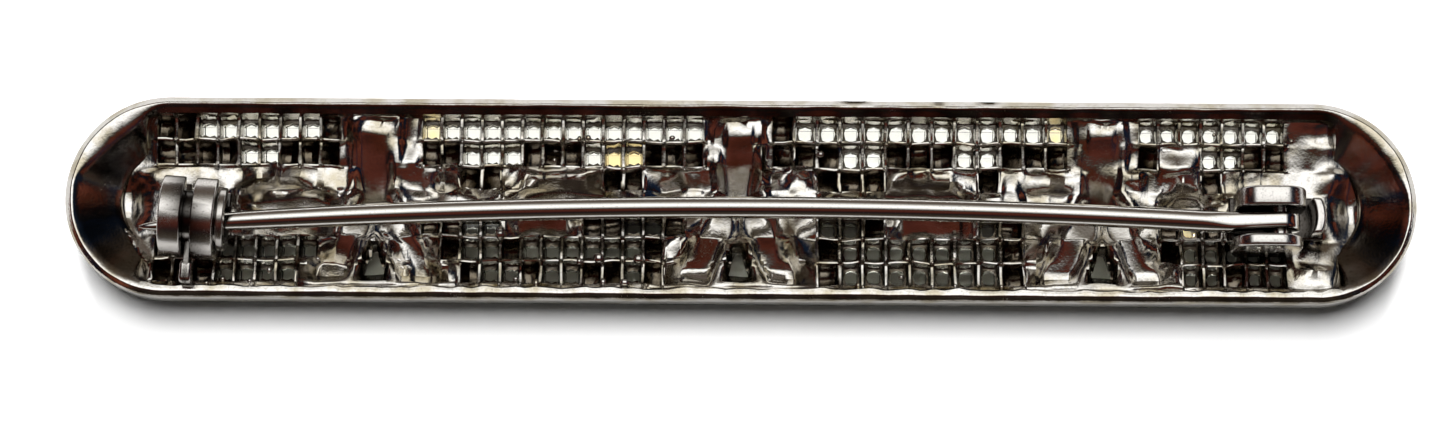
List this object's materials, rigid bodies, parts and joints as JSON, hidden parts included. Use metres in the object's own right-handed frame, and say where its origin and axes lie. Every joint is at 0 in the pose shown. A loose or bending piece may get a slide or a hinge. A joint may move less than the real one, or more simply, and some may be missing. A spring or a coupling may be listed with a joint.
{
  "type": "bar brooch",
  "caption": "Long round-ended bar brooch lying on its front: cast hollow back with a grid of pierced stone cells, hinged pin stem and turning safety catch.",
  "frame": {"origin": "under the middle of the bar, on the surface that the front rests on", "axes": "+X along the bar from the catch to the hinge, +Y towards the top edge as worn, +Z out of the back, away from the surface it lies on"},
  "size_m": [0.0764, 0.0116, 0.007],
  "materials": {
    "plated_casting": "bright rhodium-like plating on a cast back, slightly rough and speckled",
    "plated_finding": "bright plated stamped metal with fine rubbing",
    "pin_wire": "polished drawn wire",
    "clear_stone": "clear cut glass"
  },
  "bodies": {
    "brooch": {"casting": "plated_casting", "pave_stones": "clear_stone", "wedge_stone_left": "clear_stone", "wedge_stone_middle": "clear_stone", "wedge_stone_right": "clear_stone", "hinge": "plated_finding", "rivet": "plated_finding", "catch": "plated_finding"},
    "pin": {"pin_stem": "pin_wire"},
    "catch_rotor": {"rotor": "plated_finding"}
  },
  "joints": [
    {"name": "pin_lift", "type": "hinge", "parent": "brooch", "child": "pin", "pos_m": [0.0302, -0.00142, 0.00465], "axis": [0, 1, 0], "range_deg": [0, 95]},
    {"name": "rotor_turn", "type": "hinge", "parent": "brooch", "child": "catch_rotor", "pos_m": [-0.0308, -0.00144, 0.0047], "axis": [-0.9969, 0.0785, 0], "range_deg": [0, 150]}
  ]
}
